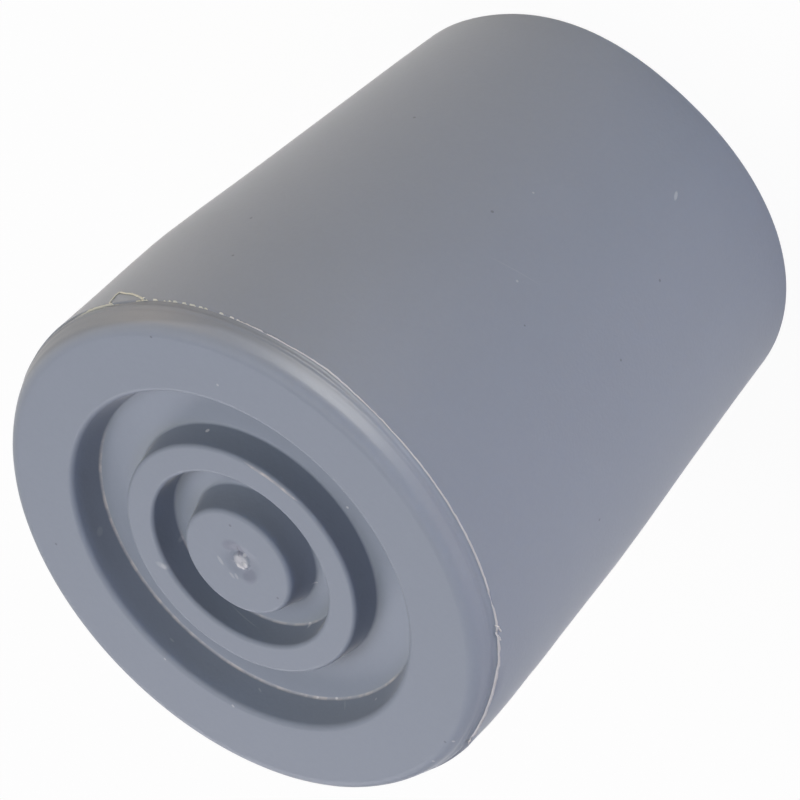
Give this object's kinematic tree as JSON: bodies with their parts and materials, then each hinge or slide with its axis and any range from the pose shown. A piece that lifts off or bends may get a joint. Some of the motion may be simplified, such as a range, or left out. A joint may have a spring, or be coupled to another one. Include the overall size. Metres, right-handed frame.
{
  "type": "rubber cane tip",
  "caption": "Grey rubber tip for the foot of a cane or crutch: a tapered cup with a blind bore for the shaft, a rounded tread edge, and a recessed ring and boss in the tread.",
  "frame": {"origin": "centre of the rim of the mouth, on the surface that the tip stands on", "axes": "+Z along the axis of the tip, from the mouth to the tread; X and Y are free, because the form is turned about Z"},
  "size_m": [0.0386, 0.0386, 0.0417],
  "materials": {
    "grey_rubber": "smooth satin moulded rubber, blue-grey, with a thin pale line of mould flash near the tread"
  },
  "bodies": {
    "root": {"rubber_tip": "grey_rubber"}
  },
  "joints": []
}
